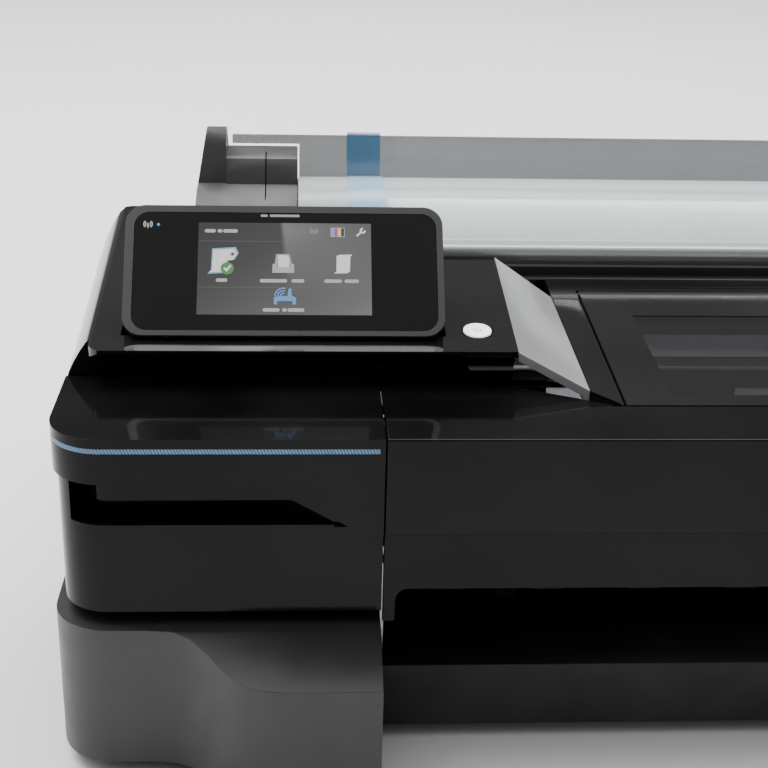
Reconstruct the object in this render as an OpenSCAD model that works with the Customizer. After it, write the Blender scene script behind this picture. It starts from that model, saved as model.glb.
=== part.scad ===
// Desktop large format plotter: 24 inch roll printer with an ink door, a
// tilting touch panel, a see-through service window and a covered roll bay.
// Millimetres. +Z up, the front faces -Y, origin at the bottom centre.

/* [Body] */
// overall width of the machine
total_w = 987; // [985:1:1060]
// wall thickness of the moulded shells
wall = 3; // [2.6:0.1:3.4]
// height of the rubber feet
foot_h = 8; // [8:1:8]

/* [Ink door] */
// top of the ink door and of the front cover
door_top = 201; // [200:0.5:202]
// radius of the door's left corner
door_r = 28; // [24:1:34]
// depth of the finger recess
grip_d = 16; // [10:1:17]

/* [Touch panel] */
// width of the panel frame
panel_w = 174.8; // [168:0.2:175]
// height of the panel frame
panel_h = 76; // [74:0.5:76]
// thickness of the panel
panel_t = 10; // [9.6:0.1:10]
// lean of the panel back from upright
panel_lean = 40.06; // [38:0.02:42]

/* [Paper path] */
// radius of the paper roll
roll_r = 48; // [30:1:50]
// radius of the paper core
core_r = 25.4; // [25.4:0.1:25.4]
// width of the paper
media_w = 610; // [500:1:610]
// radius of the drive roller
drive_r = 11; // [9:0.5:11]

/* [Hidden] */
$fn = 64;
e = 0.01;
dl = 493.5 - total_w / 2;
mid = 54;
deck_tilt = 8;
win_tilt = 4;
roll_y = 60;
roll_z = 195;
rod_y = -80;
rod_z = 150;
belt_z = 170;
home_x = 400 - dl;
hinge_y = -121.8 - 29 * sin(panel_lean) + 14.4 * cos(panel_lean);
hinge_z = 255.2 - 29 * cos(panel_lean) - 14.4 * sin(panel_lean);

// ---------- helpers ----------
module left() {
  translate([dl, 0, 0]) children();
}

module right() {
  translate([-dl, 0, 0]) children();
}

// a box from one corner to the opposite one
module bx(a, b) {
  translate(a) cube([b[0] - a[0], b[1] - a[1], b[2] - a[2]]);
}

// a bar along X with a YZ outline
module along_x(x0, x1) {
  translate([x0, 0, 0]) rotate([90, 0, 90]) linear_extrude(x1 - x0) children();
}

// a round bar along X
module rod_x(x0, x1, y, z, r) {
  translate([x0, y, z]) rotate([0, 90, 0]) cylinder(r = r, h = x1 - x0);
}

// a round bar along Y
module rod_y(x, y0, y1, z, r) {
  translate([x, y0, z]) rotate([-90, 0, 0]) cylinder(r = r, h = y1 - y0);
}

// the tilted plane of the control housing
module deck_frame() {
  translate([0, -158.1, 220.8]) rotate([deck_tilt, 0, 0]) children();
}

// the tilted plane of the window
module win_frame() {
  translate([0, -184, door_top]) rotate([win_tilt, 0, 0]) children();
}

// the plane of the touch panel, origin at the middle of the screen
module panel_plane() {
  left() translate([-372.2, -121.8, 255.2]) rotate([90 - panel_lean, 0, 0]) children();
}

// a square with four round corners
module rounded(w, h, r) {
  difference() {
    square([w, h], center = true);
    for (sx = [-1, 1], sy = [-1, 1])
      translate([sx * w / 2, sy * h / 2]) difference() {
        square(2 * r, center = true);
        translate([-sx * r, -sy * r]) circle(r);
      }
  }
}

// plan of the front left corner of the body, drawn back by i
module corner_plan(x1, yb, i) {
  r = door_r - i;
  translate([-490.5 + door_r, -227 + i]) square([x1 + 490.5 - door_r, yb + 227 - i]);
  translate([-490.5 + i, -227 + door_r]) square([x1 + 490.5 - i, yb + 227 - door_r]);
  translate([-490.5 + door_r, -227 + door_r]) circle(r);
}

// plan of one end base with its swept front
module base_plan(i) {
  difference() {
    polygon([[-493.5 + i, 28 - i], [-493.5 + i, -200], [-463.5, -230 + i], [-442 + i, -230 + i],
      [-430 + i, -231.5 + i], [-420 + i, -236 + i], [-411 + i, -244 + i], [-403 + i, -253 + i],
      [-395 + i, -259.5 + i], [-385 + i, -263.6 + i], [-372 + i, -265 + i], [-321 - i, -265 + i],
      [-321 - i, 28 - i]]);
    translate([-493.5, -230]) square([30, 30]);
  }
  translate([-463.5, -200]) circle(30 - i);
}

module base_end() {
  difference() {
    translate([0, 0, 10]) linear_extrude(83) base_plan(0);
    translate([0, 0, 9]) linear_extrude(64) base_plan(wall);
    translate([0, 0, 9]) linear_extrude(84 - wall) intersection() {
      base_plan(wall);
      translate([-500, -228]) square([200, 300]);
    }
    along_x(-450, -310) polygon([[-232, 93.1], [-266, 77.6], [-266, 94]]);
  }
}

// ---------- base ----------
module feet() {
  color("#202020") for (x = [-400 + dl, 400 - dl], y = [-165, 225])
    translate([x, y, 0]) cylinder(r = 15, h = foot_h);
}

module bottom_plate() {
  color("#9a9ea2") difference() {
    union() {
      bx([-488 + dl, -190, 8], [488 - dl, 22, 10]);
      bx([-430 + dl, 22, 8], [430 - dl, 262, 10]);
    }
    for (x = [-380, 380], y = [-120, 140])
      translate([x, y, 7]) cylinder(r = 3.2, h = 4);
    for (x = [-320 : 80 : 320], y = [60, 200])
      translate([x - 15, y, 7]) cube([30, 5, 4]);
  }
}

module base_ends() {
  color("#3a3a3c") {
    left() base_end();
    right() mirror([1, 0, 0]) base_end();
  }
}

module base_centre() {
  color("#151515") difference() {
    bx([-320.6 + dl, -200, 10], [320.6 - dl, 28, 50]);
    bx([-317.6 + dl, -197, 9], [317.6 - dl, 25, 50 - wall]);
  }
}

// ---------- rear body ----------
module rear_shell() {
  color("#262626") difference() {
    along_x(-433 + dl, 433 - dl)
      polygon([[131.5, 10], [265, 10], [265, 190], [262, 199], [255, 205], [245, 209],
        [140, 236], [131.5, 236]]);
    along_x(-430 + dl, 430 - dl)
      polygon([[128, 9], [262, 9], [262, 188], [258, 196], [252, 202], [243, 205.5],
        [139, 232.5], [128, 232.5]]);
    bx([-384 + dl, 255, 40], [-350 + dl, 270, 66]);
    bx([-320 + dl, 255, 40], [-250 + dl, 270, 66]);
    for (x = [-200 : 14 : 200]) bx([x, 255, 120], [x + 6, 270, 150]);
  }
}

// the control housing: top platform, low deck behind it and outer shoulder
module housing_block(x1) {
  intersection() {
    union() {
      along_x(-477, x1)
        polygon([[-144.6, 96], [-144.6, 201], [-145.4, 206], [-147.5, 210.5], [-151, 214.2],
          [-157, 217.6], [-158.1, 218.8], [-158.1, 260], [-47, 260], [-47, 208], [-12, 208], [-12, 96]]);
      bx([-477, -20, 96], [-366.6, 28, 208]);
      bx([-490.5, -144.6, 96], [-466, 28, 260]);
    }
    translate([0, -158.1, 220.8]) rotate([deck_tilt - 90, 0, 0]) translate([0, 0, -30])
      linear_extrude(260)
        polygon([[-495, 160], [-495, 25.5], [-490.5, 25], [-489.2, 20], [-486.6, 14.5], [-482.8, 8],
          [-479, 2.6], [-475.5, 0], [x1 + 5, 0], [x1 + 5, 160]]);
    translate([0, 0, 90]) linear_extrude(180) {
      translate([-468, -170]) square([x1 + 478, 205]);
      translate([-495, -149]) square([100, 152]);
      translate([-467, -149]) circle(10);
      translate([-464.5, 3]) circle(26);
    }
  }
}

// the space inside: a low room, the rail ends, the rear corner and the room under the platform
module housing_room(x1) {
  bx([-490.5 + wall, -160, 90], [x1 + 5, -12 - wall, 192]);
  bx([-490.5 + wall, -116, 190], [x1 + 5, -12 - wall, 199]);
  bx([-463, -20, 90], [-366.6 - wall, 24.6, 199]);
  bx([-486.1, -20, 90], [-462, 3, 192]);
  translate([-464.5, 3, 90]) cylinder(r = 22, h = 102);
  deck_frame() translate([-475.5 + wall, 16, -60])
    cube([x1 - 2 * wall + 475.5, 89, 60 - wall]);
}

module housing(x1) {
  difference() {
    housing_block(x1);
    housing_room(x1);
  }
}

module left_housing() {
  color("#101010") left() difference() {
    union() {
      housing(-246.6);
      bx([-463, -143.6, 212], [-282, -112, 222.6]);
    }
    deck_frame() translate([-266.2, 23.5, -8]) cylinder(r = 8, h = 12);
    deck_frame() translate([-266.2, 23.5, -0.6]) difference() {
      cylinder(r = 9.2, h = 3);
      cylinder(r = 8.6, h = 3);
    }
    bx([-460.6, -141.5, 215], [-284, -114.5, 232]);
  }
}

module right_housing() {
  color("#101010") right() mirror([1, 0, 0]) housing(-354.6);
}

// a block with four corners in plan: b gives its lower corners and t the upper ones, in order
// back left, front left, front right, back right
module block4(b, t) {
  polyhedron(points = concat(b, t), faces = [[0, 1, 2], [0, 2, 3], [7, 5, 4], [7, 6, 5],
    [4, 5, 1, 0], [5, 6, 2, 1], [6, 7, 3, 2], [7, 4, 0, 3]]);
}

// the bright face that falls from the housing to the window
module slope_solid(t) {
  block4([[-246.1, -42, 198 - t], [-246.1, -158.1, 198 - t], [-209.4, -175.9, 198 - t],
    [-209.4, -42, 198 - t]], [[-246.1, -42, 237 - t], [-246.1, -158.1, 220.8 - t],
    [-209.4, -175.9, 205.9 - t], [-209.4, -42, 211.3 - t]]);
}

// the foot of that face, beside the window
module slope_foot() {
  block4([[-208.9, -46, 207], [-208.9, -176.3, 199], [-193.5, -183.1, 198.5], [-193.5, -46, 207]],
    [[-208.9, -46, 211.2], [-208.9, -176.3, 205.7], [-193.5, -183.1, 201.4], [-193.5, -46, 210.9]]);
}

module slope() {
  difference() {
    slope_solid(0);
    translate([-wall, 0, 0]) slope_solid(wall * 1.4);
  }
}

module slope_panels() {
  color("#2a2a2a") {
    left() slope();
    right() translate([2 * mid, 0, 0]) mirror([1, 0, 0]) slope();
  }
}

module window_deck() {
  color("#0c0c0c") along_x(-246 + dl, 354 - dl)
    polygon([[-12, 206.6], [-12, 212.4], [-9.6, 215], [-8.6, 220], [-7.4, 221], [-4.4, 221],
      [-4.4, 200], [-8, 200]]);
  color("#0c0c0c") difference() {
    union() {
      win_frame() translate([-209 + dl, 0.6, -6]) cube([526 - 2 * dl, 174, 6]);
      left() slope_foot();
      right() translate([2 * mid, 0, 0]) mirror([1, 0, 0]) slope_foot();
    }
    for (m = [0, 1]) translate([m * 2 * mid, 0, 180]) mirror([m, 0, 0]) left() linear_extrude(40)
      polygon([[-215, -173.6], [-209.1, -176.4], [-194, -183.1], [-194, -190], [-215, -190]]);
    win_frame() window_cuts();
  }
}

// the seat, the opening and the hinge holes of the window, in its own plane
module window_cuts() {
  translate([-192.4 + dl, -1, -3.5]) cube([492.8 - 2 * dl, 154.6, 6]);
  translate([-192.4 + dl, 146, -5.2]) cube([492.8 - 2 * dl, 7.6, 4]);
  translate([-184 + dl, 8, -8]) cube([476 - 2 * dl, 145.6, 10]);
  translate([-195.4 + dl, 150, -1.7]) rotate([0, 90, 0]) cylinder(r = 1.25, h = 4);
  translate([299.4 - dl + 0.6, 150, -1.7]) rotate([0, 90, 0]) cylinder(r = 1.25, h = 3.6);
}

module front_cover() {
  color("#0c0c0c") difference() {
    union() {
      translate([0, 0, door_top - wall]) linear_extrude(wall)
        polygon([[-320.2 + dl, -227], [320.2 - dl, -227], [320.2 - dl, -176], [305.9 - dl, -183],
          [305.5 - dl, -184.6], [-197.9 + dl, -184.6], [-198.3 + dl, -182.3],
          [-246.8 + dl, -158.9], [-262 + dl, -158.9], [-275 + dl, -145.2], [-320.2 + dl, -145.2]]);
      bx([-320.2 + dl, -227, 147], [320.2 - dl, -227 + wall, door_top - 1]);
      bx([-320.2 + dl, -227, 147], [320.2 - dl, -217, 150]);
    }
    bx([-330 + dl, -160, 190], [-320.2 + dl, -140, 210]);
  }
}

module lower_fascia() {
  color("#141414") translate([0, -220.4, 0]) rotate([90, 0, 0]) linear_extrude(3) difference() {
    translate([-320.2 + dl, 93.6]) square([640.4 - 2 * dl, 53]);
    translate([-313.5 + dl, 90]) square([627 - 2 * dl, 16]);
    translate([-306.5 + dl, 90]) square([613 - 2 * dl, 23]);
    for (x = [-306.5 + dl, 306.5 - dl]) translate([x, 106]) circle(7);
  }
}

module right_front() {
  color("#0c0c0c") right() mirror([1, 0, 0]) difference() {
    union() {
      translate([0, 0, 101]) linear_extrude(70) corner_plan(-320.7, -145.2, 2.5);
      translate([0, 0, 170]) linear_extrude(door_top - 170) corner_plan(-320.7, -145.2, 0);
    }
    translate([0, 0, 100]) linear_extrude(door_top - 100 - wall) corner_plan(-320, -140, wall + 2.5);
    translate([0, 0, 190]) linear_extrude(30)
      polygon([[-320, -175.6], [-355, -158.6], [-371, -158.6], [-384, -145], [-384, -100], [-300, -100],
        [-300, -175.6]]);
  }
}

module trim_bar() {
  color("#c8cacc") along_x(-365.5 + dl, 365.5 - dl)
    polygon([[-3, 224.2], [-3.2, 226], [-2.6, 229], [-1, 230.8], [2.6, 231], [2.6, 188],
      [-0.4, 188], [-0.4, 224.2]]);
}

// an arm of the roll bay with the spindle bearing in its inner wall
module arm() {
  difference() {
    union() {
      along_x(-433, -413.6)
        polygon([[31, 10], [28.6, 205], [30, 224], [36, 235], [50, 243], [66, 248.6], [71, 251],
          [76, 276], [78.5, 282], [82, 285], [90, 285], [97, 282], [105, 274], [130.8, 244],
          [130.8, 10]]);
      along_x(-413.7, -366)
        polygon([[31, 10], [28.6, 205], [30, 224], [36, 235], [50, 243], [66, 248.6], [70, 250.6],
          [74, 262], [77, 266.4], [81, 268], [107, 268], [112, 265], [130.8, 244], [130.8, 10]]);
    }
    along_x(-433 + 2 * wall, -372)
      polygon([[34, 9], [31.6, 205], [33, 222], [39, 232.6], [51, 239.6], [68, 245.4], [80, 262],
        [110, 262], [127.6, 240], [127.6, 9]]);
    rod_x(-374, -360, roll_y, roll_z, 8.05);
    rod_x(-374, -360, 98, 246, 1.55);
    bx([-387.6, 20, 244], [-386.8, 90, 290]);
    translate([0, 140, 0]) rotate([90, 0, 0]) linear_extrude(120)
      polygon([[-433.05, 247.7], [-426.5, 285.6], [-440, 285.6], [-440, 247.7]]);
  }
}

module bay_arms() {
  color("#4a4a4a") {
    left() arm();
    right() mirror([1, 0, 0]) arm();
  }
}

module roll_trough() {
  color("#1a1a1a") difference() {
    along_x(-365.5 + dl, 365.5 - dl) translate([roll_y, roll_z]) difference() {
      circle(69);
      circle(66);
      polygon([[0, 0], [-200, -14], [-200, 200], [200, 200], [200, 54]]);
    }
    along_x(-312 + dl, 312 - dl) translate([roll_y, roll_z])
      rotate(222) translate([0, -4]) square([100, 8]);
  }
}

module tray_rail() {
  color("#1a1a1a") along_x(-365.5 + dl, 365.5 - dl)
    difference() {
      polygon([[104, 226], [104, 237.6], [131, 237.6], [131, 214], [127, 214]]);
      translate([107, 237.6]) square([4.4, 9.2], center = true);
    }
}

// ---------- ink ----------
module ink_station() {
  color("#2b2b2b") left() difference() {
    union() {
      bx([-468, -203, 104], [-328, -153, 188]);
      for (x = [-458, -360]) {
        bx([x, -217, 101.5], [x + 4, -200, 109.4]);
        rod_x(x, x + 4, -217, 105.5, 4);
      }
    }
    for (i = [0 : 3]) bx([-465.8 + 34 * i, -204, 108], [-433.9 + 34 * i, -157, 184]);
    for (i = [0 : 3]) rod_y(-449.85 + 34 * i, -158, -150, 120, 2.2);
    rod_x(-470, -340, -217, 105.5, 1.5);
  }
}

module cartridge(i) {
  left() difference() {
    union() {
      bx([-465.4 + 34 * i, -198, 108.3], [-434.3 + 34 * i, -158, 180]);
      bx([-459 + 34 * i, -202, 150], [-441 + 34 * i, -198, 174]);
    }
    rod_y(-449.85 + 34 * i, -162, -150, 120, 2.2);
    bx([-460 + 34 * i, -206, 114], [-440 + 34 * i, -197.4, 140]);
  }
}

module ink_cartridges() {
  color("#1b1b1b") cartridge(0);
  color("#2aa3cf") cartridge(1);
  color("#c23a78") cartridge(2);
  color("#dcc23a") cartridge(3);
}

module door_rod() {
  color("#b9bcc0") left() rod_x(-458, -356, -217, 105.5, 1.5);
}

module ink_tubes() {
  color("#555555") left() for (i = [0 : 3]) {
    rod_y(-449.85 + 34 * i, -161.4, -142, 120, 2);
    translate([-449.85 + 34 * i, -142, 95.5]) cylinder(r = 2, h = 26);
  }
}

// ---------- frame and paper path ----------
module side_plate() {
  difference() {
    union() {
      bx([-319, -184, 50], [-317, -15.6, 106]);
      bx([-319, -20, 50], [-317, 10, 95]);
      bx([-319, -176, 100], [-317, -160, 112]);
    }
    rod_x(-325, -310, -168, 106.4, 1.55);
    rod_x(-325, -310, -60, 97, 5.05);
    rod_x(-325, -310, -168, 90, 4.05);
  }
}

module rail_end() {
  difference() {
    bx([-479, -112, 93], [-476, -36, 198]);
    rod_x(-485, -470, -56, 120, 6);
  }
}

module frame_plates() {
  color("#a5a9ad") {
    left() side_plate();
    right() mirror([1, 0, 0]) side_plate();
    left() rail_end();
    right() mirror([1, 0, 0]) rail_end();
  }
}

module platen() {
  color("#1d1d1d") {
    bx([-312 + dl, -152, 98], [301.4 - dl, -75, 104]);
    for (x = [-300 : 20 : 300]) bx([x - 1, -150, 103.5], [x + 1, -77, 108]);
    for (x = [-240, 0, 240]) bx([x - 6, -130, 50], [x + 6, -96, 98.5]);
  }
}

module rail_beam() {
  color("#9fa3a7") difference() {
    union() {
      bx([-475 + dl, -52, 128], [475 - dl, -50, 196]);
      bx([-475 + dl, -66, 194], [475 - dl, -50, 196]);
      bx([-475 + dl, -66, 186], [475 - dl, -64.6, 196]);
    }
    rod_y(455 - dl, -70, -40, belt_z, 2.6);
    for (x = [-360 : 120 : 360]) bx([x - 30, -60, 146], [x + 30, -40, 160]);
  }
}

module guide_rod() {
  color("#d5d8db") rod_x(-476 + dl, 476 - dl, rod_y, rod_z, 5);
}

module encoder_strip() {
  color("#8a8f92") bx([-476 + dl, -103.4, 190.6], [476 - dl, -103, 195.4]);
}

module belt_loop(x0, x1, z, r, t) {
  difference() {
    union() {
      for (x = [x0, x1]) translate([x, z]) circle(r + t);
      translate([x0, z - r - t]) square([x1 - x0, 2 * (r + t)]);
    }
    for (x = [x0, x1]) translate([x, z]) circle(r);
    translate([x0, z - r]) square([x1 - x0, 2 * r]);
  }
}

module belts() {
  color("#2c2c2c") translate([0, -60, 0]) rotate([90, 0, 0]) linear_extrude(6)
    belt_loop(-455 + dl, 455 - dl, belt_z, 7.8, 1.4);
  color("#2c2c2c") feed_belt();
}

module motors() {
  color("#8b8e92") right() {
    rod_y(455, -49.6, -12, belt_z, 17);
    rod_y(455, -12.2, -9, belt_z, 6);
    rod_x(254, 300, -14, 97, 16);
    bx([262, -20, 50], [292, -8, 84]);
  }
}

module service_station() {
  color("#262626") right() difference() {
    bx([345, -145, 93], [462, -95, 109]);
    bx([352, -140, 98], [392, -100, 112]);
    bx([402, -140, 98], [455, -100, 112]);
  }
}

module pinch_frame() {
  color("#8f9397") difference() {
    union() {
      bx([-300 + dl, -69, 123], [300 - dl, -52, 125]);
      for (x = [-240 : 120 : 240]) for (s = [-31, 27]) bx([x + s, -66, 110], [x + s + 4, -54, 123.4]);
    }
    rod_x(-320, 320, -60, 113.6, 2.05);
  }
}

module feed_belt() {
  right() along_x(304, 310) difference() {
    hull() {
      translate([-60, 97]) circle(21.8, $fn = 32);
      translate([-14, 97]) circle(7.8, $fn = 32);
    }
    hull() {
      translate([-60, 97]) circle(20.6, $fn = 32);
      translate([-14, 97]) circle(6.6, $fn = 32);
    }
  }
}

module main_board() {
  color("#1f5a36") bx([-140, 150, 30], [180, 152, 190]);
  color("#333333") for (x = [-120 : 60 : 150]) bx([x, 151.9, 60], [x + 34, 160, 96]);
}

module power_supply() {
  color("#a8a8a8") left() difference() {
    bx([-400, 150, 12], [-230, 250, 90]);
    for (x = [-380 : 12 : -250]) bx([x, 160, 86], [x + 5, 240, 92]);
    bx([-390, 238, 36], [-344, 252, 70]);
    bx([-326, 236, 36], [-244, 252, 70]);
  }
}

module rear_sockets() {
  color("#111111") left() difference() {
    bx([-383.6, 240, 40.4], [-350.4, 264, 65.6]);
    bx([-379, 249, 45], [-355, 270, 61]);
  }
  color("#c9ccd0") left() for (x = [-375, -367, -359]) bx([x - 1, 248.5, x == -367 ? 55 : 49],
    [x + 1, 261, x == -367 ? 59 : 53]);
  color("#c2c4c6") left() difference() {
    bx([-319.6, 240, 40.4], [-250.4, 264, 65.6]);
    bx([-314, 250, 45], [-298, 270, 60]);
    bx([-288, 250, 45], [-275, 270, 57]);
    bx([-268, 250, 45], [-256, 270, 57]);
  }
}

// ---------- controls ----------
module power_button() {
  color("#f4f0f4") left() deck_frame() translate([-266.2, 23.5, 0]) {
    translate([0, 0, -2.6]) cylinder(r = 7.7, h = 3.2);
    translate([0, 0, -7]) cylinder(r = 3, h = 5);
  }
}

module panel_bracket() {
  color("#1a1a1a") left() {
    bx([-448, -140, 215], [-296, -117, 217]);
    for (x = [-442, -309.6]) hull() {
      rod_x(x, x + 7.2, hinge_y, hinge_z, 4);
      bx([x, hinge_y - 5, 216.5], [x + 7.2, hinge_y + 5, 217]);
    }
    rod_x(-435, -427, hinge_y, hinge_z, 2);
    rod_x(-317.4, -309.4, hinge_y, hinge_z, 2);
  }
}

module panel_frame() {
  color("#3b3b3d") panel_plane() difference() {
    translate([0, -1, -panel_t]) linear_extrude(panel_t) rounded(panel_w, panel_h, 11);
    translate([0.6, -1.6, -1.6]) linear_extrude(5) rounded(panel_w - 8.5, panel_h - 7, 8.5);
    translate([0, -1, -panel_t - 1]) linear_extrude(panel_t - 2.4) rounded(panel_w - 12, panel_h - 12, 6);
    along_x(-100, 100) polygon([[-46, -2.6], [-39.4, -3.2], [-31, -11.2], [-46, -12]]);
    for (x = [-46.5, 48.5]) translate([x, -40, -6]) cube([0.6, 1.8, 5]);
  }
}

module panel_glass() {
  color("#050506") panel_plane() translate([0.6, -1.6, -1.5]) difference() {
    linear_extrude(1.3) rounded(panel_w - 8.9, panel_h - 7.4, 8.3);
    translate([-0.6, 1.6, 1.1]) linear_extrude(1) square([95.2, 54.1], center = true);
  }
}

module panel_screen() {
  color("#2e2f33") panel_plane() translate([0, 0, -0.38]) linear_extrude(0.16)
    square([95, 53.9], center = true);
}

module panel_back() {
  color("#1c1c1e") panel_plane() difference() {
    union() {
      translate([0, 0.5, -panel_t + 0.2]) linear_extrude(2.6) rounded(panel_w - 12.6, 58, 5.6);
      for (x = [-62, 54]) translate([x, -33, -14.4]) cube([8, 12, 4.8]);
      for (x = [-62, 54]) translate([x, -29, -14.4]) rotate([0, 90, 0]) cylinder(r = 4, h = 8);
    }
    translate([-70, -29, -14.4]) rotate([0, 90, 0]) cylinder(r = 2.05, h = 150);
    for (x = [-40 : 8 : 40]) translate([x, 8, -12]) cube([3, 14, 3.4]);
  }
}

// ---------- doors and covers ----------
module door_shell() {
  difference() {
    union() {
      translate([0, 0, 101]) linear_extrude(78) corner_plan(-320.8, -145.3, 2.5);
      translate([0, 0, 176]) linear_extrude(door_top - 176) corner_plan(-320.8, -145.3, 0);
      translate([0, 0, 147]) linear_extrude(30) intersection() {
        corner_plan(-320.8, -145.3, 0);
        translate([-346, -230]) square([40, 100]);
      }
    }
    translate([0, 0, 100]) linear_extrude(door_top - 100 - wall)
      corner_plan(-320.8 - wall, -140, wall + 2.5);
    translate([0, 0, 193]) linear_extrude(2.8) difference() {
      corner_plan(-323.4, -140, -1);
      corner_plan(-323.4, -139, 0.8);
      translate([-323.4, -240]) square(100);
    }
  }
}

module grip_plan(d, x0) {
  intersection() {
    corner_plan(-320, -150, -2);
    difference() {
      translate([x0, -240]) square([-336.9 - x0, 95]);
      difference() {
        corner_plan(-320, -100, d);
        polygon([[-368, -240], [-337, -240], [-337, -226], [-368, -227 + d]]);
      }
      polygon([[-337, -228], [-368, -227 + d], [-368, -100], [-330, -100], [-330, -228]]);
    }
  }
}

module ink_door() {
  color("#0c0c0c") left() {
    difference() {
      union() {
        door_shell();
        translate([0, 0, 149.4]) linear_extrude(29.2) intersection() {
          corner_plan(-320.8, -145.3, 2.5);
          difference() {
            grip_plan(grip_d + 2.6, -482.6);
            translate([-500, -175]) square([200, 100]);
          }
        }
        for (x = [-453.4, -374]) rod_x(x, x + 13, -217, 105.5, 4);
        for (x = [-453.4, -374]) bx([x, -222, 101.5], [x + 13, -217, 109.5]);
      }
      translate([0, 0, 152]) linear_extrude(24) grip_plan(grip_d, -480);
      rod_x(-470, -340, -217, 105.5, 1.55);
    }
  }
}

module door_stripe() {
  color("#4f86b8") left() translate([0, 0, 193.1]) linear_extrude(2.6) difference() {
    corner_plan(-323.5, -145.4, 0);
    corner_plan(-323.5, -139, 0.75);
    translate([-323.5, -240]) square(100);
  }
}

module window_frame() {
  color("#0c0c0c") win_frame() difference() {
    union() {
      translate([-190.8 + dl, 0.2, -3]) cube([489.6 - 2 * dl, 152.4, 3]);
      translate([-194.8 + dl, 150, -1.7]) rotate([0, 90, 0]) cylinder(r = 1.2, h = 4.6);
      translate([298.2 - dl, 150, -1.7]) rotate([0, 90, 0]) cylinder(r = 1.2, h = 4.6);
    }
    translate([-164 + dl, 12, -4]) cube([436 - 2 * dl, 104, 6]);
    translate([-166 + dl, 10, -2]) cube([440 - 2 * dl, 108, 1.3]);
    translate([44, -1, -1.4]) cube([20, 4, 3]);
  }
}

module window_pane() {
  color([0.12, 0.12, 0.13, 0.55]) win_frame() {
    translate([-163.8 + dl, 12.2, -2.9]) cube([435.6 - 2 * dl, 103.6, 2.5]);
    translate([-165.8 + dl, 10.2, -1.9]) cube([439.6 - 2 * dl, 107.6, 1.1]);
  }
}

module roll_cover() {
  color([0.93, 0.95, 0.96, 0.4]) {
    along_x(-365.3 + dl, 365.3 - dl) {
      translate([roll_y, roll_z]) difference() {
        circle(62);
        circle(60);
        polygon([[0, 0], [-160, 106], [-200, -200], [200, -200], [150, 192]]);
      }
      translate([98, 246]) circle(2.6);
    }
    for (x = [-369 + dl, 365.2 - dl]) rod_x(x, x + 3.8, 98, 246, 1.5);
    along_x(-365.3 + dl, 365.3 - dl) polygon([[8.4, 229.2], [5.6, 230.4], [6.6, 232.4], [10, 232]]);
  }
}

module cover_mark() {
  color([0.45, 0.62, 0.78, 0.5]) left() along_x(-332, -309)
    translate([roll_y, roll_z]) difference() {
      circle(62.6);
      circle(62.1);
      polygon([[0, 0], [-160, 190], [-200, -200], [200, -200], [120, 204]]);
    }
}

module tray_plane() {
  translate([0, 107, 233.4]) rotate([-5, 0, 0]) children();
}

module sheet_tray() {
  color([0.3, 0.42, 0.48, 0.6]) tray_plane() {
    translate([-411 + dl, -1.5, 35.7]) cube([822 - 2 * dl, 3, 6.1]);
    translate([-365 + dl, -1.5, -0.2]) cube([730 - 2 * dl, 3, 37]);
    for (x = [-394, 394]) translate([x + (x < 0 ? dl : -dl) - 1.5, -2.7, 35.7]) cube([3, 1.3, 6.1]);
  }
}

module sheet_guide() {
  color([0.2, 0.45, 0.7, 0.7]) left() tray_plane() translate([-332, 0, 0]) {
    translate([0, -3.2, 12]) cube([23, 1.3, 31.4]);
    translate([0, 1.9, 22]) cube([23, 1.3, 21.4]);
    translate([0, -3.2, 42.3]) cube([23, 6.4, 1.2]);
  }
}

// ---------- roll ----------
module spindle() {
  color("#2a2a2a") rod_x(-371.5 + dl, 371.5 - dl, roll_y, roll_z, 8);
}

module hub(x) {
  difference() {
    union() {
      rod_x(x - 23, x, roll_y, roll_z, 50);
      rod_x(x, x + 30, roll_y, roll_z, core_r - 0.4);
    }
    rod_x(x - 30, x + 40, roll_y, roll_z, 8.02);
  }
}

module roll_hubs() {
  color("#2f6ea3") {
    hub(-media_w / 2 - 0.3);
    mirror([1, 0, 0]) hub(-media_w / 2 - 0.3);
  }
}

module paper_roll() {
  color("#f2f2ee") difference() {
    rod_x(-media_w / 2, media_w / 2, roll_y, roll_z, roll_r);
    rod_x(-media_w / 2 - 1, media_w / 2 + 1, roll_y, roll_z, core_r);
  }
}

// ---------- carriage ----------
module carriage() {
  color("#1e1e1e") translate([home_x, 0, 0]) difference() {
    union() {
      bx([-45, -138, 118], [45, -92, 186]);
      rod_x(-45, 45, rod_y, rod_z, 10);
      bx([-45, -93, 142], [45, -79, 158]);
      bx([-20, -93, 165.4], [20, -60.2, 174.6]);
      bx([-20, -93, 158], [20, -84, 175]);
    }
    rod_x(-60, 60, rod_y, rod_z, 5.05);
    bx([-37, -132, 150], [37, -98, 190]);
  }
}

module printhead() {
  color("#606468") translate([home_x, 0, 0]) {
    bx([-26, -134, 111], [26, -106, 118]);
    bx([-30, -128, 150.2], [30, -102, 180]);
  }
}

module cutter() {
  color("#4a4d50") translate([home_x - 80, 0, 0]) {
    bx([-14, -204, 122], [14, -182, 140]);
    bx([-2, -198, 114.4], [2, -186, 122.2]);
  }
}

module drive_pulley() {
  color("#b0b3b6") right() difference() {
    union() {
      rod_y(455, -66.6, -59.4, belt_z, 7.3);
      rod_y(455, -60, -49.8, belt_z, 2);
    }
    for (a = [0 : 60 : 359]) translate([455, -70, belt_z]) rotate([0, a, 0]) translate([4.6, 0, 0])
      rotate([-90, 0, 0]) cylinder(r = 0.9, h = 4.4);
  }
}

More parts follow.
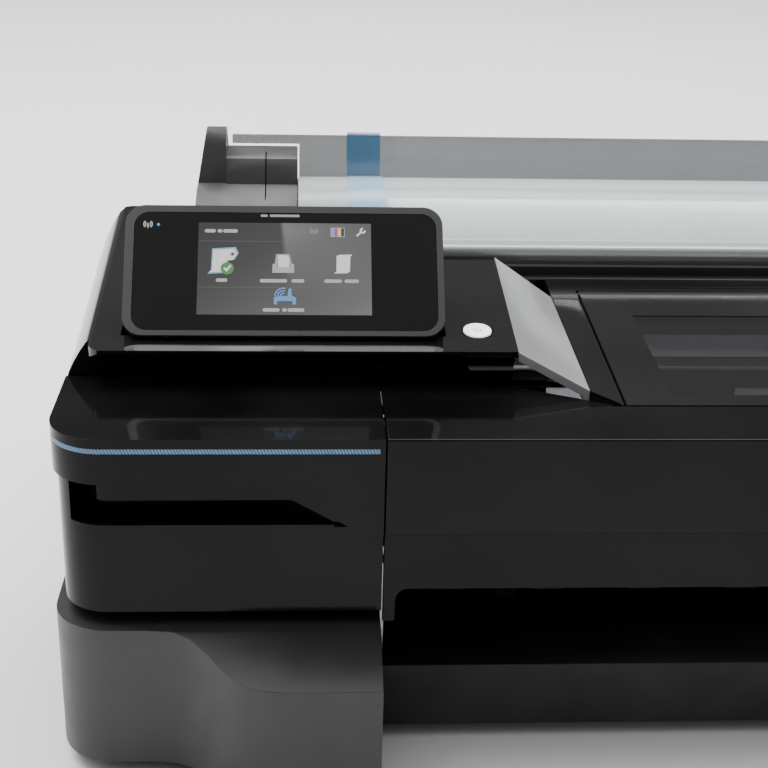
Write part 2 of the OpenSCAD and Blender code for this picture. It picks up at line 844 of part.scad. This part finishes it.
module idler_pulley() {
  color("#b0b3b6") left() difference() {
    union() {
      rod_y(-455, -66.6, -59.4, belt_z, 7.3);
      rod_y(-455, -60, -52.4, belt_z, 2);
    }
    for (a = [0 : 60 : 359]) translate([-455, -70, belt_z]) rotate([0, a, 0]) translate([4.6, 0, 0])
      rotate([-90, 0, 0]) cylinder(r = 0.9, h = 4.4);
  }
}

// ---------- rollers ----------
module drive_roller() {
  color("#3a3c3e") {
    rod_x(-308 + dl, 300 - dl, -60, 97, drive_r);
    rod_x(-320.6 + dl, 320.6 - dl, -60, 97, 5);
  }
}

module feed_pulley() {
  color("#b9b9b4") right() difference() {
    rod_x(303, 311, -60, 97, 20);
    rod_x(300, 315, -60, 97, 5.02);
    for (a = [0 : 60 : 359]) translate([300, -60, 97]) rotate([a, 0, 0]) rod_x(0, 15, 12, 0, 3);
  }
}

module feed_pinion() {
  color("#b9b9b4") right() {
    rod_x(303, 311, -14, 97, 6);
    rod_x(300.4, 304, -14, 97, 2);
  }
}

module pinch_rollers() {
  color("#454545") for (x = [-240 : 120 : 240]) {
    rod_x(x - 26, x + 26, -60, 113.6, 5);
    rod_x(x - 33, x + 33, -60, 113.6, 2);
  }
}

module output_roller() {
  color("#505050") {
    rod_x(-320.6 + dl, 320.6 - dl, -168, 90, 4);
    for (x = [-280 : 56 : 280]) rod_x(x - 9, x + 9, -168, 90, 9);
  }
}

module star_wheels() {
  color("#c0c2c4") {
    rod_x(-319.6 + dl, 319.6 - dl, -168, 106.4, 1.5);
    for (x = [-280 : 56 : 280], s = [-5, 5]) rod_x(x + s - 0.6, x + s + 0.6, -168, 106.4, 7);
  }
}

feet();
bottom_plate();
base_ends();
base_centre();
rear_shell();
left_housing();
right_housing();
slope_panels();
window_deck();
front_cover();
lower_fascia();
right_front();
trim_bar();
bay_arms();
roll_trough();
tray_rail();
ink_station();
ink_cartridges();
door_rod();
ink_tubes();
frame_plates();
platen();
rail_beam();
guide_rod();
encoder_strip();
belts();
motors();
service_station();
pinch_frame();
main_board();
power_supply();
rear_sockets();
panel_bracket();
ink_door();
door_stripe();
panel_frame();
panel_glass();
panel_screen();
panel_back();
power_button();
window_frame();
window_pane();
roll_cover();
cover_mark();
sheet_tray();
sheet_guide();
spindle();
roll_hubs();
paper_roll();
carriage();
printhead();
cutter();
drive_pulley();
idler_pulley();
drive_roller();
feed_pulley();
feed_pinion();
pinch_rollers();
output_roller();
star_wheels();
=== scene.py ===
import math
import bpy
import bmesh
from mathutils import Matrix, Vector


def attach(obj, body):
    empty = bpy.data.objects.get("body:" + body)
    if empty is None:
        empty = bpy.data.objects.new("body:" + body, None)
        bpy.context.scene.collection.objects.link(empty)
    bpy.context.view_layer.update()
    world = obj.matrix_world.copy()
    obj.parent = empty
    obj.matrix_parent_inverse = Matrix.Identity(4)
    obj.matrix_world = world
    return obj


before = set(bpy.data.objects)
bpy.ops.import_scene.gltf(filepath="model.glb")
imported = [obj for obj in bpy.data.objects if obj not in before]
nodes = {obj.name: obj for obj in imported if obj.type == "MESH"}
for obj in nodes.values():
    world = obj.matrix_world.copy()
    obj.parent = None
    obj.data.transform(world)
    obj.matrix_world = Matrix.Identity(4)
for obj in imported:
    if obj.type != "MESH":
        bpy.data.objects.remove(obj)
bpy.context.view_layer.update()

scene = bpy.context.scene

# places and angles of the machine, in metres and radians
SCREEN_MID = Vector((-0.3722, -0.1218, 0.2552))   # middle of the lit screen
PANEL_LEAN = math.radians(40.06)                  # lean of the touch panel from upright
DECK_CORNER = Vector((-0.2662, -0.1581, 0.2208))  # platform's front edge, in front of the button
DECK_TILT = math.radians(8)
BUTTON_UP = Vector((0, 0.0235, 0.0006))           # from there to the top of the power button

# the camera, at the photograph's viewing angle
CAM_PLACE = Vector((-0.3625, -0.870, 0.5034))
CAM_YAW, CAM_PITCH, CAM_ROLL = math.radians(3.54461), math.radians(22.91069), math.radians(-1.51097)
CAM_LENS, CAM_SENSOR = 67.163, 36


# ---------------------------------------------------------------- camera
def frame_of(x_axis, y_axis, z_axis, place):
    """The matrix that has these three axes and this origin."""
    mat = Matrix.Identity(4)
    for row in range(3):
        mat[row][0], mat[row][1], mat[row][2] = x_axis[row], y_axis[row], z_axis[row]
    mat.translation = place
    return mat


def camera_matrix():
    ahead = Vector((math.sin(CAM_YAW) * math.cos(CAM_PITCH), math.cos(CAM_YAW) * math.cos(CAM_PITCH),
                    -math.sin(CAM_PITCH)))
    level = Vector((math.cos(CAM_YAW), -math.sin(CAM_YAW), 0))
    below = ahead.cross(level)
    right = level * math.cos(CAM_ROLL) + below * math.sin(CAM_ROLL)
    down = below * math.cos(CAM_ROLL) - level * math.sin(CAM_ROLL)
    return frame_of(right, -down, -ahead, CAM_PLACE)


cam = bpy.data.cameras.new("camera")
cam.lens = CAM_LENS
cam.sensor_width = CAM_SENSOR
cam.clip_start = 0.02
cam.clip_end = 60
cam_ob = bpy.data.objects.new("camera", cam)
scene.collection.objects.link(cam_ob)
cam_ob.matrix_world = camera_matrix()
scene.camera = cam_ob


# ---------------------------------------------------------------- materials
def tree(name):
    mt = bpy.data.materials.new(name)
    mt.use_nodes = True
    nt = mt.node_tree
    return mt, nt, nt.nodes["Principled BSDF"]


def coords(nt, scale=(1, 1, 1)):
    tc = nt.nodes.new("ShaderNodeTexCoord")
    mp = nt.nodes.new("ShaderNodeMapping")
    mp.inputs["Scale"].default_value = scale
    nt.links.new(tc.outputs["Object"], mp.inputs["Vector"])
    return mp.outputs["Vector"]


def noise(nt, scale, detail=3, stretch=(1, 1, 1), rough=0.5):
    n = nt.nodes.new("ShaderNodeTexNoise")
    n.inputs["Scale"].default_value = scale
    n.inputs["Detail"].default_value = detail
    n.inputs["Roughness"].default_value = rough
    nt.links.new(coords(nt, stretch), n.inputs["Vector"])
    return n.outputs["Fac"]


def spread(nt, fac, lo, hi, a=0.3, b=0.7):
    r = nt.nodes.new("ShaderNodeMapRange")
    r.inputs["From Min"].default_value = a
    r.inputs["From Max"].default_value = b
    r.inputs["To Min"].default_value = lo
    r.inputs["To Max"].default_value = hi
    nt.links.new(fac, r.inputs["Value"])
    return r.outputs["Result"]


def ramp(nt, fac, stops):
    r = nt.nodes.new("ShaderNodeValToRGB")
    while len(r.color_ramp.elements) < len(stops):
        r.color_ramp.elements.new(0.5)
    for el, (p, c) in zip(r.color_ramp.elements, stops):
        el.position = p
        el.color = (c[0], c[1], c[2], 1)
    nt.links.new(fac, r.inputs["Fac"])
    return r.outputs["Color"]


def calc(nt, operation, *values):
    """A maths node; each value is a number or another node's output."""
    n = nt.nodes.new("ShaderNodeMath")
    n.operation = operation
    for socket, v in zip(n.inputs, values):
        if isinstance(v, (int, float)):
            socket.default_value = v
        else:
            nt.links.new(v, socket)
    return n.outputs[0]


def axes(nt):
    """X, Y and Z of a point on the object."""
    sep = nt.nodes.new("ShaderNodeSeparateXYZ")
    nt.links.new(coords(nt), sep.inputs[0])
    return sep.outputs["X"], sep.outputs["Y"], sep.outputs["Z"]


def bump(nt, bsdf, height, strength, dist):
    b = nt.nodes.new("ShaderNodeBump")
    b.inputs["Strength"].default_value = strength
    b.inputs["Distance"].default_value = dist
    nt.links.new(height, b.inputs["Height"])
    nt.links.new(b.outputs["Normal"], bsdf.inputs["Normal"])


def plastic(name, col, rough, spec=0.5, vary=0.25, grain=0.0, grain_scale=1800, metallic=0.0,
            coat=0.0, stretch=(1, 1, 1)):
    """An opaque surface whose colour and gloss vary a little, with a fine grain if asked."""
    blotch = 9
    mt, nt, b = tree(name)
    hi = [min(1, c * (1 + vary) + 0.0015) for c in col]
    lo = [c * (1 - vary) for c in col]
    nt.links.new(ramp(nt, noise(nt, blotch, 4, stretch), [(0.35, lo), (0.65, hi)]),
                 b.inputs["Base Color"])
    nt.links.new(spread(nt, noise(nt, blotch * 5, 5, stretch), rough * 0.85, rough * 1.2 + 0.01),
                 b.inputs["Roughness"])
    b.inputs["Metallic"].default_value = metallic
    b.inputs["Specular IOR Level"].default_value = spec
    b.inputs["IOR"].default_value = 1.5
    b.inputs["Coat Weight"].default_value = coat
    b.inputs["Coat Roughness"].default_value = 0.03
    if grain:
        bump(nt, b, noise(nt, grain_scale, 2), grain, 0.0002)
    return mt


def clear(name, col, alpha, rough, spec=0.5, streak=0.0):
    """A see-through plastic, faintly streaked along its length."""
    mt, nt, b = tree(name)
    c = ramp(nt, noise(nt, 6, 3, (0.2, 6, 6)), [(0.3, [x * 0.94 for x in col]), (0.7, col)])
    nt.links.new(c, b.inputs["Base Color"])
    nt.links.new(spread(nt, noise(nt, 40, 3), rough * 0.8, rough * 1.3), b.inputs["Roughness"])
    nt.links.new(spread(nt, noise(nt, 14, 2, (0.1, 5, 5)), alpha - streak, alpha + streak),
                 b.inputs["Alpha"])
    b.inputs["Specular IOR Level"].default_value = spec
    return mt


def glow(name, col, power, base=(0.02, 0.02, 0.02)):
    """A surface that gives its own light."""
    mt, nt, b = tree(name)
    lo = [c * 0.93 for c in col]
    c = ramp(nt, noise(nt, 300, 2), [(0.35, lo), (0.65, col)])
    nt.links.new(c, b.inputs["Emission Color"])
    b.inputs["Base Color"].default_value = (*base, 1)
    b.inputs["Emission Strength"].default_value = power
    b.inputs["Roughness"].default_value = 0.3
    return mt


gloss = plastic("gloss_black", (0.0045, 0.0045, 0.005), 0.07, spec=0.4, vary=0.3)
door_gloss = plastic("gloss_black_door", (0.0032, 0.0032, 0.0036), 0.07, spec=0.13, vary=0.3)
fascia = plastic("fascia_black", (0.004, 0.004, 0.004), 0.2, spec=0.12)
slope_m = plastic("slope_gray", (0.24, 0.24, 0.245), 0.2, vary=0.06, coat=0.3)
base_m = plastic("base_satin", (0.03, 0.03, 0.032), 0.34, spec=0.4, grain=0.25, grain_scale=2600)
shell_m = plastic("shell_satin", (0.018, 0.018, 0.019), 0.4, grain=0.3, grain_scale=1600)
arm_m = plastic("arm_texture", (0.05, 0.05, 0.052), 0.42, grain=0.5, grain_scale=1500)
matte = plastic("black_matte", (0.012, 0.012, 0.012), 0.55, spec=0.3, grain=0.2)
panel_gray = plastic("panel_gray", (0.03, 0.03, 0.032), 0.3, grain=0.15, grain_scale=2600)
panel_black = plastic("panel_black_glass", (0.0025, 0.0025, 0.003), 0.05, spec=0.16, vary=0.2)
silver = plastic("trim_silver", (0.55, 0.56, 0.57), 0.28, metallic=0.6, vary=0.05, stretch=(0.1, 9, 9))
steel = plastic("steel_sheet", (0.42, 0.43, 0.45), 0.32, metallic=1.0, vary=0.1, stretch=(0.3, 12, 12))
chrome = plastic("steel_rod", (0.62, 0.63, 0.65), 0.14, metallic=1.0, vary=0.05, stretch=(20, 1, 1))
alu = plastic("aluminium", (0.6, 0.6, 0.62), 0.3, metallic=1.0, vary=0.06)
motor_m = plastic("motor_can", (0.3, 0.31, 0.32), 0.35, metallic=0.9, vary=0.1)
rubber = plastic("rubber", (0.012, 0.012, 0.012), 0.7, spec=0.25, grain=0.4, grain_scale=900)
roller_m = plastic("roller_rubber", (0.03, 0.03, 0.03), 0.6, spec=0.3, grain=0.5, grain_scale=1200)
board_m = plastic("board_green", (0.01, 0.07, 0.03), 0.4, vary=0.3)
cart_m = plastic("cartridge", (0.03, 0.03, 0.034), 0.35, grain=0.2)
carr_m = plastic("carriage", (0.02, 0.02, 0.021), 0.35, grain=0.2)
hub_m = plastic("hub_blue", (0.035, 0.13, 0.27), 0.35, grain=0.15)
strip_m = plastic("strip_film", (0.2, 0.2, 0.2), 0.3)
sock_m = plastic("socket_black", (0.02, 0.02, 0.02), 0.4, grain=0.2)
paper_m = plastic("paper", (0.88, 0.9, 0.9), 0.75, spec=0.2, vary=0.02, grain=0.25, grain_scale=1400)
cover_m = clear("cover_milky", (0.86, 0.91, 0.92), 0.34, 0.08, streak=0.05)
smoke_m = clear("tray_smoked", (0.055, 0.08, 0.09), 0.66, 0.06, spec=0.4, streak=0.02)
blue_clear = clear("guide_blue_clear", (0.12, 0.32, 0.52), 0.5, 0.12, streak=0.03)
mark_clear = clear("guide_mark_clear", (0.42, 0.66, 0.86), 0.42, 0.12, streak=0.04)
pane_m = clear("pane_tinted", (0.012, 0.012, 0.013), 0.62, 0.03, streak=0.01)
white_btn = glow("button_white", (1.0, 0.93, 1.0), 1.1, (0.8, 0.78, 0.8))


def stripe_material():
    """Blue with a fine leaning hatch that runs along the front and round the corner."""
    pitch_m = 0.00165
    mt, nt, b = tree("stripe_blue")
    x, y, z = axes(nt)
    along = calc(nt, "ADD", calc(nt, "SUBTRACT", x, y), calc(nt, "MULTIPLY", z, 0.45))
    wave = calc(nt, "SINE", calc(nt, "MULTIPLY", along, 2 * math.pi / pitch_m))
    hatch = spread(nt, wave, 0, 1, -0.5, 0.5)
    nt.links.new(ramp(nt, hatch, [(0.0, (0.035, 0.08, 0.15)), (1.0, (0.13, 0.27, 0.46))]),
                 b.inputs["Base Color"])
    nt.links.new(spread(nt, noise(nt, 200), 0.3, 0.45), b.inputs["Roughness"])
    bump(nt, b, hatch, 0.6, 0.0002)
    return mt


def screen_material():
    """The lit screen: darker at the top left, with a soft lighter wedge of painted glare right of a
    leaning line.
    """
    mt, nt, b = tree("screen_lit")
    x, _, z = axes(nt)
    mid_x, _, mid_z = SCREEN_MID

    def plane(kx, kz, c):
        return calc(nt, "MULTIPLY_ADD", z, kz, calc(nt, "MULTIPLY_ADD", x, kx, c))

    fall = plane(2.6, -5.0, -mid_x * 2.6 + mid_z * 5.0 + 0.42)
    # the leaning line, the height band and the sideways fade mark out a wedge of painted glare, added to
    # the screen's own light
    line = plane(60, 9.0, 0.3704 * 60 - mid_z * 9.0)
    edge = spread(nt, line, 0, 1, -0.12, 0.02)
    fade = spread(nt, z, 0, 1, 0.243, 0.272)
    away = spread(nt, x, 0.34, 0.05, mid_x + 0.0002, mid_x + 0.0502)
    painted_glare = calc(nt, "MULTIPLY", calc(nt, "MULTIPLY", edge, fade), away)
    grays = [(0.0, (0.01, 0.01, 0.01)), (0.35, (0.04, 0.04, 0.04)), (0.6, (0.10, 0.10, 0.10)),
             (1.0, (0.30, 0.30, 0.305))]
    nt.links.new(ramp(nt, calc(nt, "ADD", fall, painted_glare), grays), b.inputs["Emission Color"])
    b.inputs["Base Color"].default_value = (0.01, 0.01, 0.01, 1)
    b.inputs["Emission Strength"].default_value = 1.5
    b.inputs["Roughness"].default_value = 0.12
    b.inputs["Specular IOR Level"].default_value = 0.2
    return mt


stripe_m = stripe_material()
screen_m = screen_material()

finish = {
    gloss: ["left_housing", "right_housing", "window_deck", "window_frame"],
    door_gloss: ["ink_door", "front_cover", "right_front"],
    fascia: ["lower_fascia"],
    slope_m: ["slope_panels"],
    base_m: ["base_ends"],
    shell_m: ["rear_shell"],
    arm_m: ["bay_arms"],
    matte: ["base_centre", "roll_trough", "tray_rail", "ink_station", "platen", "service_station",
            "panel_bracket", "panel_back", "spindle"],
    panel_gray: ["panel_frame"],
    panel_black: ["panel_glass"],
    screen_m: ["panel_screen"],
    silver: ["trim_bar"],
    steel: ["bottom_plate", "frame_plates", "rail_beam", "pinch_frame", "power_supply"],
    chrome: ["door_rod", "guide_rod", "star_wheels"],
    alu: ["drive_pulley", "idler_pulley", "feed_pulley", "feed_pinion"],
    motor_m: ["motors", "printhead", "cutter"],
    rubber: ["feet", "belts", "ink_tubes"],
    roller_m: ["drive_roller", "pinch_rollers", "output_roller"],
    board_m: ["main_board"],
    cart_m: ["ink_cartridges"],
    carr_m: ["carriage"],
    hub_m: ["roll_hubs"],
    strip_m: ["encoder_strip"],
    sock_m: ["rear_sockets"],
    paper_m: ["paper_roll"],
    cover_m: ["roll_cover"],
    smoke_m: ["sheet_tray"],
    blue_clear: ["sheet_guide"],
    mark_clear: ["cover_mark"],
    pane_m: ["window_pane"],
    white_btn: ["power_button"],
    stripe_m: ["door_stripe"],
}
for mt, names in finish.items():
    for n in names:
        ob = nodes[n]
        if not ob.material_slots:
            ob.data.materials.append(mt)
        for s in ob.material_slots:
            s.link = "OBJECT"
            s.material = mt

# rounded edges that catch the light: the radius on each piece, in metres
edge_r = {"left_housing": 0.0012, "right_housing": 0.0012, "slope_panels": 0.0006, "window_deck": 0.0006,
          "front_cover": 0.0014, "lower_fascia": 0.0006, "right_front": 0.0014, "ink_door": 0.0014,
          "base_ends": 0.0013, "base_centre": 0.001, "rear_shell": 0.0013, "bay_arms": 0.0014,
          "panel_frame": 0.0009, "panel_glass": 0.0003, "window_frame": 0.0007, "power_button": 0.0007,
          "sheet_tray": 0.0006, "tray_rail": 0.0008, "trim_bar": 0.0003, "feet": 0.0015, "carriage": 0.001}
for n, w in edge_r.items():
    ob = nodes[n]
    wd = ob.modifiers.new("weld", "WELD")
    wd.merge_threshold = 0.00002
    bv = ob.modifiers.new("bevel", "BEVEL")
    bv.width = w
    bv.segments = 3
    bv.limit_method = "ANGLE"
    bv.angle_limit = math.radians(32)
    bv.harden_normals = False
    bv.use_clamp_overlap = True
    wn = ob.modifiers.new("normals", "WEIGHTED_NORMAL")
    wn.keep_sharp = False
    wn.weight = 60


# ---------------------------------------------------------------- added pieces
def solid(name, outlines, depth, place, mt, body):
    """Flat raised pieces from outlines in mm, on the plane that place gives."""
    bm = bmesh.new()
    for pts in outlines:
        low = [bm.verts.new(place @ Vector((x / 1000, y / 1000, 0))) for x, y in pts]
        top = [bm.verts.new(place @ Vector((x / 1000, y / 1000, depth / 1000))) for x, y in pts]
        bm.faces.new(top)
        bm.faces.new(low[::-1])
        for i in range(len(pts)):
            j = (i + 1) % len(pts)
            bm.faces.new((low[i], low[j], top[j], top[i]))
    bmesh.ops.recalc_face_normals(bm, faces=bm.faces)
    me = bpy.data.meshes.new(name)
    bm.to_mesh(me)
    bm.free()
    ob = bpy.data.objects.new(name, me)
    scene.collection.objects.link(ob)
    me.materials.append(mt)
    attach(ob, body)
    return ob


def disc(x, y, r, n=28):
    turns = [2 * math.pi * i / n for i in range(n)]
    return [(x + r * math.cos(t), y + r * math.sin(t)) for t in turns]


def band(x, y, r0, r1, a0, a1, n=16):
    """Part of a ring between two angles in degrees."""
    turns = [math.radians(a0 + (a1 - a0) * i / n) for i in range(n + 1)]
    return ([(x + r1 * math.cos(t), y + r1 * math.sin(t)) for t in turns]
            + [(x + r0 * math.cos(t), y + r0 * math.sin(t)) for t in turns[::-1]])


def box(x0, y0, x1, y1):
    return [(x0, y0), (x1, y0), (x1, y1), (x0, y1)]


def bar(x0, y0, x1, y1, r):
    """A box with four round corners."""
    out = []
    for cx, cy, a in ((x1 - r, y1 - r, 0), (x0 + r, y1 - r, 90),
                      (x0 + r, y0 + r, 180), (x1 - r, y0 + r, 270)):
        for i in range(5):
            t = math.radians(a + 22.5 * i)
            out.append((cx + r * math.cos(t), cy + r * math.sin(t)))
    return out


def turned(pts, x, y, deg):
    c, s = math.cos(math.radians(deg)), math.sin(math.radians(deg))
    return [(x + px * c - py * s, y + px * s + py * c) for px, py in pts]


def on_panel(height):
    """The panel's plane, raised by a height in mm."""
    up = Vector((0, math.sin(PANEL_LEAN), math.cos(PANEL_LEAN)))
    outward = Vector((0, -math.cos(PANEL_LEAN), math.sin(PANEL_LEAN)))
    return frame_of(Vector((1, 0, 0)), up, outward, SCREEN_MID + outward * height / 1000)


white = glow("icon_white", (1, 1, 1), 0.95)
dim = glow("icon_dim", (0.5, 0.5, 0.5), 0.8)
pale = glow("icon_pale", (0.55, 0.56, 0.58), 0.9)
halo = glow("icon_halo", (0.25, 0.6, 0.75), 0.8)
green = glow("icon_green", (0.06, 0.28, 0.07), 1.0)
blue = glow("icon_blue", (0.13, 0.36, 0.75), 1.0)
cy = glow("icon_cyan", (0.25, 0.42, 0.8), 1.0)
mg = glow("icon_magenta", (0.5, 0.06, 0.3), 1.0)
yl = glow("icon_yellow", (0.9, 0.75, 0.2), 1.0)
dark = glow("icon_dark", (0.02, 0.02, 0.025), 1.0)
linem = glow("icon_line", (0.12, 0.12, 0.12), 1.0)
# four layers over the screen and one over the glass beside it, in mm from the panel's plane
L0, L1, L2, L3 = -0.20, -0.14, -0.08, -0.02
GLASS = -0.18


def icon(name, outlines, mt, lvl=L1):
    return solid(name, outlines, 0.05, on_panel(lvl), mt, "touch_panel")


def words(x0, x1, y, h, sizes):
    """A plain row of short bars in place of a label."""
    out, x = [], x0
    for k in sizes:
        w = (x1 - x0) * k
        out.append(bar(x, y - h / 2, x + w * 0.86, y + h / 2, h / 2.2))
        x += w
    return out


icon("screen_lines", [box(-47, 15.75, 47, 15.95), box(-47, -11.3, 47, -11.1)], linem, L0)
icon("label_status", words(-44, -24.6, 21.9, 2.0, (0.36, 0.16, 0.48)), pale)
icon("label_roll", words(-37.4, -30.2, -7.1, 2.0, (1.0,)), pale)
icon("label_tray", words(-13.5, 11.8, -7.3, 2.0, (0.68, 0.32)), pale)
icon("label_sheet", words(21.6, 41.8, -7.3, 2.0, (0.55, 0.45)), pale)
icon("label_share", words(-11.8, 12.2, -24.2, 2.0, (0.44, 0.12, 0.44)), pale)

# roll icon: sheet with a rolled top, its halo and the tick
sheet_out = [(-39.2, 10.6), (-27.6, 11.4), (-26.2, 8.2), (-28.4, 4.8), (-31.6, 4.4), (-31.2, -0.8),
             (-34, -2.2), (-38.6, -2.4), (-41.4, -2.6), (-39.6, -1.0)]
grow = [(-34.5 + (x + 34.5) * 1.12, 4 + (y - 4) * 1.13) for x, y in sheet_out]
icon("roll_halo", [grow], halo, L0)
icon("roll_sheet", [sheet_out], white)
icon("roll_core", [disc(-28.6, 8.2, 1.3)], dim, L2)
icon("roll_eye", [disc(-28.6, 8.2, 0.65)], dark, L3)
icon("tick_disc", [disc(-31.4, -0.2, 3.6)], green, L2)
icon("tick", [[(-33.4, -0.4), (-32.6, 0.5), (-31.9, -0.7), (-29.9, 1.9), (-29.0, 1.3), (-31.7, -2.2)]],
     white, L3)
# tray icon
icon("tray_back", [[(-4.8, 8.4), (2.6, 8.4), (4.0, 2), (-5.6, 2)]], dim, L0)
icon("tray_box", [[(-6.6, 2.6), (-4.6, 2.6), (-4.2, 1.2), (3.2, 1.2), (3.6, 2.6), (5.0, 2.6),
                   (5.2, -2.6), (-6.8, -2.6)]], pale, L1)
icon("tray_paper", [[(-3.6, 7.6), (1.2, 7.8), (2.4, 6.4), (2.4, 0.8), (-3.6, 0.8)]], white, L2)
# single sheet icon
icon("sheet_page", [[(28.4, 7.6), (30.2, 8.2), (37.0, 8.4), (35.9, 7.0), (35.7, -1.4), (34.2, -2.6),
                     (27.0, -2.8), (28.3, -1.6)]], white)
# printer icon
icon("printer_body", [[(-5.8, -17.0), (-3.6, -16.2), (4.6, -16.2), (6.2, -17.2), (6.2, -20.8),
                       (4.4, -21.2), (4.2, -19.0), (-4.0, -19.0), (-4.2, -21.2), (-5.8, -20.8)],
                      [(1.6, -16.3), (4.0, -16.3), (3.6, -13.4), (2.0, -13.2)],
                      disc(2.9, -12.6, 0.9, 16)], blue, L1)
icon("printer_waves", [band(-0.8, -16.0, 4.0, 4.7, 75, 185), band(-0.8, -16.0, 2.5, 3.2, 70, 185),
                       band(-0.8, -16.0, 1.0, 1.7, 60, 185)], blue, L2)
# status icons
icon("ink_frame", [box(25.2, 18.9, 32.9, 24.3)], pale, L0)
icon("ink_c", [box(25.5, 19.2, 27.3, 24.0)], cy, L1)
icon("ink_m", [box(27.3, 19.2, 29.1, 24.0)], mg, L1)
icon("ink_y", [box(29.1, 19.2, 30.9, 24.0)], yl, L1)
icon("ink_k", [box(30.9, 19.2, 32.6, 24.0)], dark, L1)
icon("wrench", [turned(box(-2.6, -0.5, 1.0, 0.5), 41.4, 21.2, 42),
                turned(band(0, 0, 0.7, 1.7, 40, 320), 42.9, 22.7, 42)], white)


def antenna(x, y, s):
    out = [disc(x, y, 0.4 * s, 12), box(x - 0.17 * s, y - 2.0 * s, x + 0.17 * s, y)]
    for r in (1.1, 1.9):
        out.append(band(x, y, r * s, (r + 0.3) * s, -50, 50, 8))
        out.append(band(x, y, r * s, (r + 0.3) * s, 130, 230, 8))
    return out


icon("status_antenna", antenna(16.0, 22.2, 0.95), dim)
solid("frame_antenna", antenna(-75.1, 25.6, 1.15), 0.05, on_panel(GLASS), white, "touch_panel")
led = glow("led_blue", (0.03, 0.35, 0.8), 1.2)
solid("frame_led", [disc(-69.4, 25.4, 0.85, 20)], 0.07, on_panel(GLASS), led, "touch_panel")
mark = glow("panel_mark", (0.5, 0.5, 0.5), 0.8)
solid("frame_mark", [bar(-13.4, 30.5, -9.6, 31.9, 0.5), bar(-8.4, 30.5, 8.0, 31.9, 0.5)], 0.05,
      on_panel(GLASS), mark, "touch_panel")

# power symbol on the button
button_top = (Matrix.Translation(DECK_CORNER) @ Matrix.Rotation(DECK_TILT, 4, "X")
              @ Matrix.Translation(BUTTON_UP))
sym = glow("button_symbol", (0.32, 0.26, 0.34), 0.8)
solid("power_symbol", [band(0, -0.1, 1.75, 2.2, 125, 415, 24), box(-0.22, 0.3, 0.22, 2.9)],
      0.06, button_top, sym, "power_button")

# ---------------------------------------------------------------- set
bm = bmesh.new()
bmesh.ops.create_grid(bm, x_segments=2, y_segments=2, size=14)
me = bpy.data.meshes.new("floor")
bm.to_mesh(me)
bm.free()
floor = bpy.data.objects.new("floor", me)
scene.collection.objects.link(floor)
fm, nt, b = tree("floor_pale")
nt.links.new(ramp(nt, noise(nt, 0.8, 2), [(0.3, (0.86, 0.86, 0.86)), (0.7, (0.9, 0.9, 0.9))]),
             b.inputs["Base Color"])
b.inputs["Roughness"].default_value = 0.9
b.inputs["Specular IOR Level"].default_value = 0.1
me.materials.append(fm)

world = bpy.data.worlds.new("studio")
scene.world = world
world.use_nodes = True
wt = world.node_tree
bg = wt.nodes["Background"]
tc = wt.nodes.new("ShaderNodeTexCoord")
sp = wt.nodes.new("ShaderNodeSeparateXYZ")
wt.links.new(tc.outputs["Generated"], sp.inputs[0])
wr = wt.nodes.new("ShaderNodeValToRGB")
# brightness of the studio by the sine of the height above the horizon
stops = [(0.0, 0.3), (0.3, 0.12), (0.5, 0.3), (0.68, 0.42), (0.8, 1.1), (1.0, 1.6)]
while len(wr.color_ramp.elements) < len(stops):
    wr.color_ramp.elements.new(0.5)
for el, (p, v) in zip(wr.color_ramp.elements, stops):
    el.position = p
    el.color = (v, v, v * 1.01, 1)
wt.links.new(sp.outputs["Z"], wr.inputs["Fac"])
wt.links.new(wr.outputs["Color"], bg.inputs["Color"])
bg.inputs["Strength"].default_value = 1.0


def area(name, loc, target, sx, sy, watts):
    li = bpy.data.lights.new(name, "AREA")
    li.shape = "RECTANGLE"
    li.size, li.size_y, li.energy = sx, sy, watts
    ob = bpy.data.objects.new(name, li)
    scene.collection.objects.link(ob)
    ob.location = loc
    ob.rotation_euler = (Vector(target) - Vector(loc)).to_track_quat("-Z", "Y").to_euler()
    return ob


area("key", (-1.6, 0.7, 2.9), (-0.2, 0.0, 0.1), 2.4, 1.6, 120)
area("back", (0.9, 1.5, 3.2), (0, 0, 0.1), 2.8, 1.6, 130)
area("side", (-2.2, 0.2, 0.9), (-0.4, 0, 0.15), 0.7, 1.2, 9)
